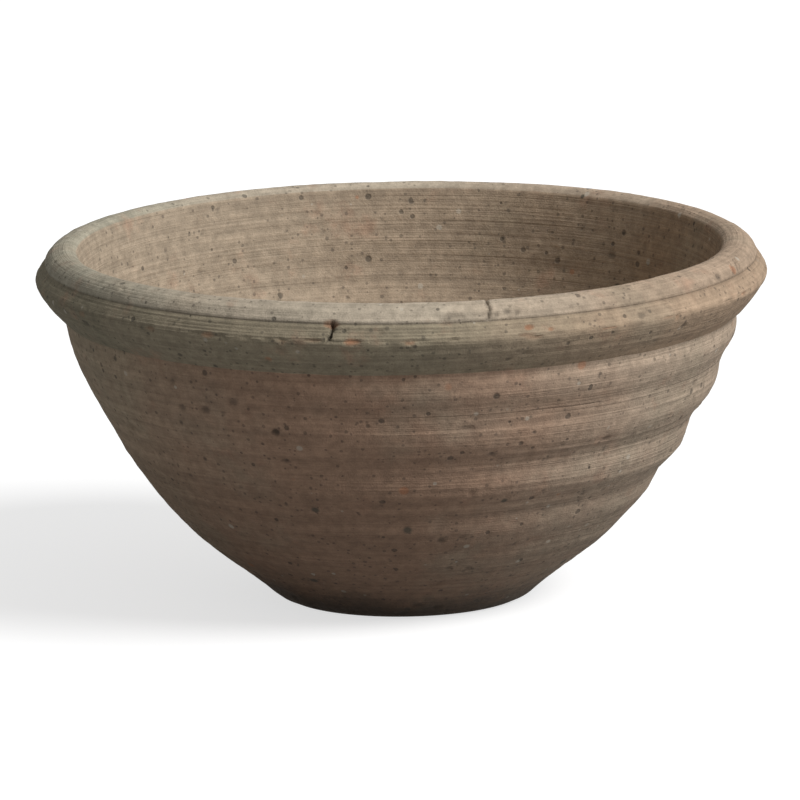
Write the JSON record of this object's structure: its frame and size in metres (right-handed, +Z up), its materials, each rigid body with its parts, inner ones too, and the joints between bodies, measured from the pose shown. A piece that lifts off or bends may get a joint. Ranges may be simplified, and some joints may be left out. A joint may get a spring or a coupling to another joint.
{
  "type": "earthenware bowl",
  "caption": "Wide thrown earthenware bowl with a flaring ridged wall, a small flat base and a rounded lip over a grooved outer collar.",
  "frame": {"origin": "centre of the base's flat underside", "axes": "+Z up along the axis that the bowl was turned on, -Y towards the side shown in the picture"},
  "size_m": [0.28, 0.28, 0.1367],
  "materials": {
    "base_clay": "sooty unglazed fired clay",
    "wall_clay": "unglazed fired clay, brown with dark specks",
    "lip_clay": "unglazed fired clay, pale and worn",
    "collar_clay": "unglazed fired clay, grooved"
  },
  "bodies": {
    "root": {"base_disc": "base_clay", "wall_course_1": "wall_clay", "wall_course_2": "wall_clay", "wall_course_3": "wall_clay", "wall_course_4": "wall_clay", "wall_course_5": "wall_clay", "lip_ring": "lip_clay", "rim_collar": "collar_clay"}
  },
  "joints": []
}
